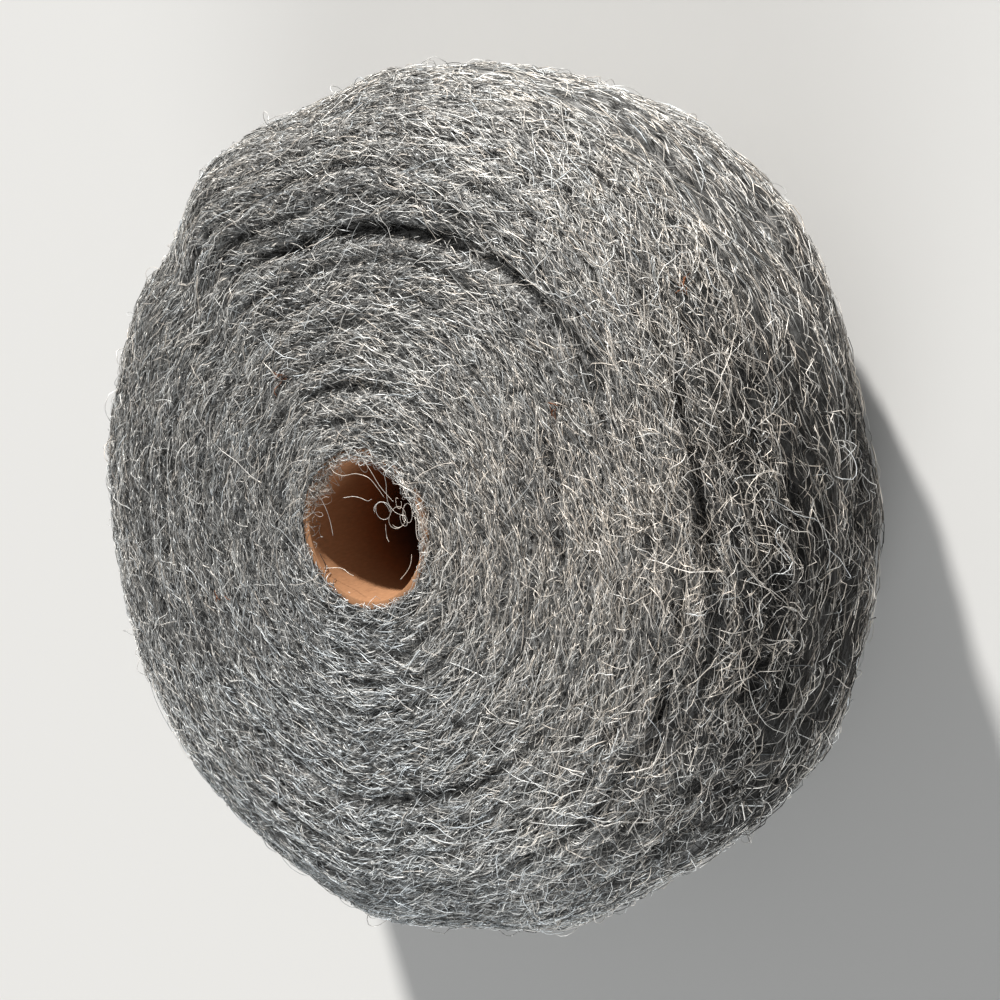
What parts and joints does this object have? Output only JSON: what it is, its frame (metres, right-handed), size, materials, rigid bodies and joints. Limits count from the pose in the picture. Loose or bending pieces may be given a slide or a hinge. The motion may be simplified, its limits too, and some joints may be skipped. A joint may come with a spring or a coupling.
{
  "type": "steel wool roll",
  "caption": "Roll of fine steel wool ribbon wound in a spiral on a brown cardboard tube, standing on its end.",
  "frame": {"origin": "centre of the bottom end face, on the surface that the roll stands on", "axes": "+Z along the roll's axis, up through the end face that the picture shows; +X and +Y across the roll"},
  "size_m": [0.2565, 0.2523, 0.1012],
  "materials": {
    "steel_wool": "fine bright fibres lying along the turns, with dark gaps between them",
    "kraft_cardboard": "matt, spiral-wound kraft paper"
  },
  "bodies": {
    "root": {"wool_turns": "steel_wool", "cardboard_core": "kraft_cardboard"}
  },
  "joints": []
}
